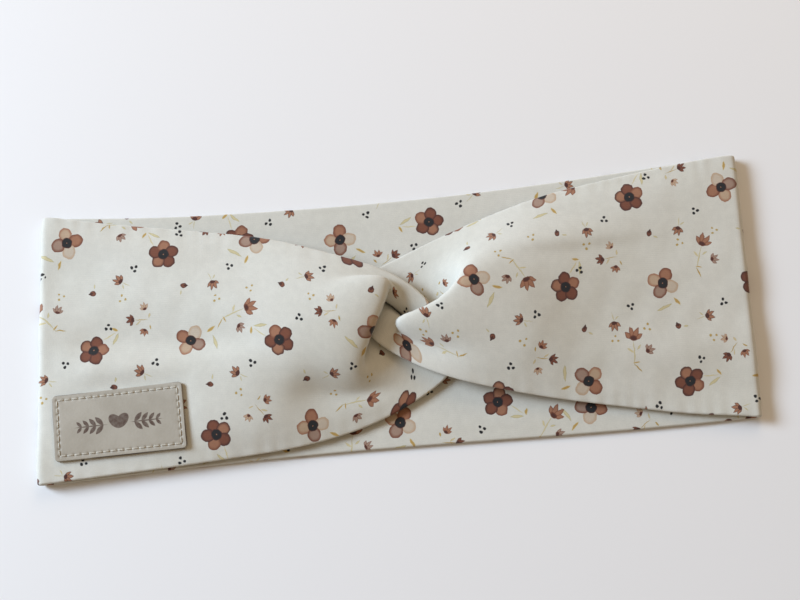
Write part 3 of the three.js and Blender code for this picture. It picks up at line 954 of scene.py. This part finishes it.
def paint_mark(nodes, colour, place, mark):
    shape, x, y, turn, half_length, half_width, inner, rim = mark
    unit = nodes.new("ShaderNodeMapping", {
        "Vector": place, "Location": (x, y, 0), "Rotation": (0, 0, math.radians(turn)),
        "Scale": (half_length, half_width, 1),
    }, vector_type="TEXTURE").outputs[0]
    if shape == "leaf":
        split = nodes.new("ShaderNodeSeparateXYZ", {0: unit}).outputs
        reach = nodes.math("ADD", nodes.math("ABSOLUTE", split[1]),
                           nodes.math("MULTIPLY", split[0], split[0]))
    else:
        reach = nodes.vector("LENGTH", unit)
    soft = min(SOFTEST_RIM, SOFT_RIM / half_width)
    ink = linear(inner)
    if inner != rim:
        ink = nodes.mix(nodes.ramp(reach, 0.5, 1.0), linear(inner), linear(rim))
    return nodes.mix(nodes.ramp(reach, 1 + soft, 1 - soft), colour, ink)


def motif_group(name, marks):
    def build(nodes, inputs):
        colour = inputs["Colour"]
        for mark in marks:
            colour = paint_mark(nodes, colour, inputs["Place"], mark)
        return colour

    return node_group(name, {"Place": "vector", "Colour": "colour"}, "colour", build)


def whole_print(nodes, inputs):
    """The ground colour with every motif of the print on it."""
    place = nodes.vector("MULTIPLY", inputs["Place"], (1 / MM, 1 / MM, 0))
    wobble = nodes.vector("SUBTRACT", nodes.noise(place, 0.55).outputs["Color"], (0.5, 0.5, 0.5))
    place = nodes.vector("ADD", place, nodes.vector("MULTIPLY", wobble, (0.8, 0.8, 0)))
    colour = inputs["Colour"]
    for i, (marks, apart, centre, stray) in enumerate(PRINT):
        # a trace of the colour so far goes in, so that the motifs are worked out one after another
        here = nodes.new("ShaderNodeVectorMath", {0: colour, 1: (TRACE,) * 3, 2: place},
                         operation="MULTIPLY_ADD").outputs[0]
        local = nodes.group(MOTIF_PLACE, {
            "Place": here, "Centre": (*centre, 0), "Apart": apart,
            "Stray": (2 * stray, 2 * stray, 0), "Seed": i * SEED_STEP,
        })
        colour = nodes.group(motif_group(f"motif_{i}", marks), {"Place": local, "Colour": colour})
    return colour


PRINT_GROUP = node_group("print", {"Place": "vector", "Colour": "colour"}, "colour", whole_print)


# ---- materials ----
def jersey(name, ground):
    nodes = Material(name)
    uv = nodes.uv()
    wide = nodes.noise(uv, 28, 3).outputs[0]
    base = nodes.mix(nodes.ramp(wide, 0.35, 0.7), linear(ground[0]), linear(ground[1]))
    ink = nodes.group(PRINT_GROUP, {"Place": uv, "Colour": base})
    # the knit takes the ink unevenly
    fleck = nodes.noise(uv, 2600, 2).outputs[0]
    bloom = nodes.noise(uv, 420, 3, 0.6).outputs[0]
    shade = nodes.math("MULTIPLY", nodes.ramp(fleck, 0.2, 0.8, 0.96, 1.03),
                       nodes.ramp(bloom, 0.3, 0.75, 0.97, 1.03))
    colour = nodes.new("ShaderNodeHueSaturation", {"Color": ink, "Value": shade}).outputs[0]
    # columns of V-shaped loops
    split = nodes.new("ShaderNodeSeparateXYZ", {0: uv}).outputs
    across = nodes.math("PINGPONG", nodes.math("DIVIDE", split[1], WALE * MM), 0.5)
    slanted = nodes.math("ADD", nodes.math("DIVIDE", split[0], COURSE * MM),
                         nodes.math("MULTIPLY", across, 1.3))
    loops = nodes.math("SINE", nodes.math("MULTIPLY", slanted, 2 * math.pi))
    valley = nodes.ramp(across, 0.0, 0.22)
    knit = nodes.math("MULTIPLY", nodes.math("ADD", nodes.math("MULTIPLY", loops, 0.3), 0.7), valley)
    fuzz = nodes.noise(uv, 1500, 3, 0.7).outputs[0]
    height = nodes.math("ADD", knit, nodes.math("MULTIPLY", fuzz, 0.5))
    nodes.feed(nodes.shader.inputs["Base Color"], colour)
    nodes.feed(nodes.shader.inputs["Roughness"], nodes.ramp(fuzz, 0.3, 0.7, 0.78, 0.92))
    nodes.feed(nodes.shader.inputs["Normal"], nodes.bump(height, 0.35, 0.06 * MM))
    nodes.shader.inputs["Sheen Weight"].default_value = 0.25
    nodes.shader.inputs["Sheen Roughness"].default_value = 0.6
    nodes.shader.inputs["Specular IOR Level"].default_value = 0.25
    return nodes.material


def thread(name, pale, dark):
    nodes = Material(name)
    place = nodes.new("ShaderNodeTexCoord").outputs["Object"]
    strands = nodes.noise(place, 3200, 3, 0.7).outputs[0]
    nodes.feed(nodes.shader.inputs["Base Color"],
               nodes.mix(nodes.ramp(strands, 0.3, 0.7), linear(dark), linear(pale)))
    nodes.feed(nodes.shader.inputs["Roughness"], nodes.ramp(strands, 0.3, 0.7, 0.5, 0.75))
    nodes.feed(nodes.shader.inputs["Normal"], nodes.bump(strands, 0.4, 0.04 * MM))
    nodes.shader.inputs["Sheen Weight"].default_value = 0.2
    return nodes.material


LABEL_INK = "#4a3324"
LABEL_BORDER = "#4b3d33"


def label_mark():
    """A small heart between two leafy twigs, in the same terms as a motif of the print."""
    marks = []
    for side in (-1, 1):
        marks.append(("round", side * 0.95, 0.35, 90 - side * 42, 2.5, 1.6, LABEL_INK, LABEL_INK))
        marks.append(("leaf", side * 8.3, -0.4, 0, 4.9, 0.2, LABEL_INK, LABEL_INK))
        for i in range(4):
            size = 1.75 - 0.2 * i
            x = side * (4.9 + 2.1 * i + 0.5 * size)
            for lift in (-1, 1):
                turn = side * lift * 48
                marks.append(("leaf", x, -0.4 + lift * 0.72 * size, turn, size, 0.4 * size,
                              LABEL_INK, LABEL_INK))
    return marks


def leather(name, pale, dark):
    nodes = Material(name)
    uv = nodes.uv()
    place = nodes.vector("MULTIPLY", uv, (1 / MM, 1 / MM, 0))
    cloud = nodes.noise(uv, 70, 4, 0.6).outputs[0]
    colour = nodes.mix(nodes.ramp(cloud, 0.3, 0.72), linear(dark), linear(pale))
    # darker raw border
    split = nodes.new("ShaderNodeSeparateXYZ", {0: place}).outputs
    to_end = nodes.math("SUBTRACT", LABEL_LENGTH / 2, nodes.math("ABSOLUTE", split[0]))
    to_side = nodes.math("SUBTRACT", LABEL_WIDTH / 2, nodes.math("ABSOLUTE", split[1]))
    border = nodes.ramp(nodes.math("MINIMUM", to_end, to_side), 0.24, 0.05)
    patchy = nodes.ramp(nodes.noise(uv, 60, 1).outputs[0], 0.48, 0.62, 0.1, 0.95)
    colour = nodes.mix(nodes.math("MULTIPLY", border, patchy), colour, linear(LABEL_BORDER))
    blank = colour
    for mark in label_mark():
        colour = paint_mark(nodes, colour, place, mark)
    worn = nodes.ramp(nodes.noise(uv, 900, 3).outputs[0], 0.25, 0.75, 0.75, 1.0)
    colour = nodes.mix(worn, blank, colour)
    pebble = nodes.new("ShaderNodeTexVoronoi", {"Vector": uv, "Scale": 1700.0},
                       feature="SMOOTH_F1").outputs["Distance"]
    fine = nodes.noise(uv, 2600, 3, 0.6).outputs[0]
    grain = nodes.math("ADD", pebble, nodes.math("MULTIPLY", fine, 0.6))
    nodes.feed(nodes.shader.inputs["Base Color"], colour)
    nodes.feed(nodes.shader.inputs["Roughness"], nodes.ramp(grain, 0.2, 1.0, 0.46, 0.66))
    nodes.feed(nodes.shader.inputs["Normal"], nodes.bump(grain, 0.3, 0.08 * MM))
    return nodes.material


def dress(piece, material):
    piece.data.materials.append(material)


dress(outer_cloth, jersey("printed_jersey_outer", ("#c6c4b9", "#cac8be")))
dress(lining_cloth, jersey("printed_jersey_lining", ("#c5c3b8", "#c9c7bd")))
seam_thread = thread("seam_thread", "#e6e1d5", "#cbc4b4")
for stitched in (upper_edge_stitches, lower_edge_stitches, closing_stitches):
    dress(stitched, seam_thread)
dress(leather_label, leather("label_leather", "#aaa395", "#9b9384"))
label_thread = thread("label_thread", "#d3cdbf", "#a8a08f")
dress(label_stitches, label_thread)
dress(label_bobbin_stitches, label_thread)


# ---- stage, light and camera ----
FLOOR_HALF = 5               # metres
FLOOR_DROP = 0.05            # millimetres under the object
DAYLIGHT = (0.81, 0.99, 1.22)
LAMPLIGHT = (1.0, 0.78, 0.55)


def stage_floor():
    mesh = bpy.data.meshes.new("floor")
    corners = [(x * FLOOR_HALF, y * FLOOR_HALF, 0) for x, y in ((-1, -1), (1, -1), (1, 1), (-1, 1))]
    mesh.from_pydata(corners, [], [(0, 1, 2, 3)])
    floor = bpy.data.objects.new("floor", mesh)
    bpy.context.collection.objects.link(floor)
    floor.location.z = cad_low[2] - FLOOR_DROP * MM
    nodes = Material("floor_paint")
    nodes.shader.inputs["Base Color"].default_value = linear("#e5e4e3")
    nodes.shader.inputs["Roughness"].default_value = 0.7
    dress(floor, nodes.material)


def lamp(name, kind, place, power, colour):
    """A lamp that points from its place to the middle of the object."""
    data = bpy.data.lights.new(name, kind)
    data.energy = power
    data.color = colour
    light = bpy.data.objects.new(name, data)
    light.location = place
    light.rotation_euler = (-Vector(place)).to_track_quat("-Z", "Y").to_euler()
    bpy.context.collection.objects.link(light)
    return data


def area_lamp(name, place, size, power, colour):
    data = lamp(name, "AREA", place, power, colour)
    data.shape = "DISK"
    data.size = size


def stage_light():
    """Bluish daylight from the left and a warm room; places and sizes are in metres."""
    world = bpy.data.worlds.new("studio")
    world.use_nodes = True
    sky = world.node_tree.nodes["Background"]
    sky.inputs["Color"].default_value = (*LAMPLIGHT, 1)
    sky.inputs["Strength"].default_value = 0.36
    bpy.context.scene.world = world
    sun = lamp("daylight", "SUN", (-0.88, 0.42, 0.5), 2.25, DAYLIGHT)
    sun.angle = 0.35
    area_lamp("window", (-0.6, 0.16, 0.34), 0.28, 3.0, DAYLIGHT)
    area_lamp("warm_lamp", (0.15, 0.55, 0.42), 0.35, 1.0, LAMPLIGHT)
    bpy.context.scene.view_settings.view_transform = "Standard"


def stage_camera():
    """Steep view from the lower edge's side, turned a little towards the left fold."""
    elevation, turn, distance = math.radians(77), math.radians(5.46), 0.4
    back = Vector((
        -math.sin(turn) * math.cos(elevation),
        -math.cos(turn) * math.cos(elevation),
        math.sin(elevation),
    ))
    data = bpy.data.cameras.new("camera")
    data.lens = 59
    data.sensor_width = 36
    data.shift_x = 0.007
    data.shift_y = 0.0225
    camera = bpy.data.objects.new("camera", data)
    aim = Vector(SHIFT * MM)
    camera.location = aim + back * distance
    camera.rotation_euler = (-back).to_track_quat("-Z", "Y").to_euler()
    bpy.context.collection.objects.link(camera)
    bpy.context.scene.camera = camera


stage_floor()
stage_light()
stage_camera()
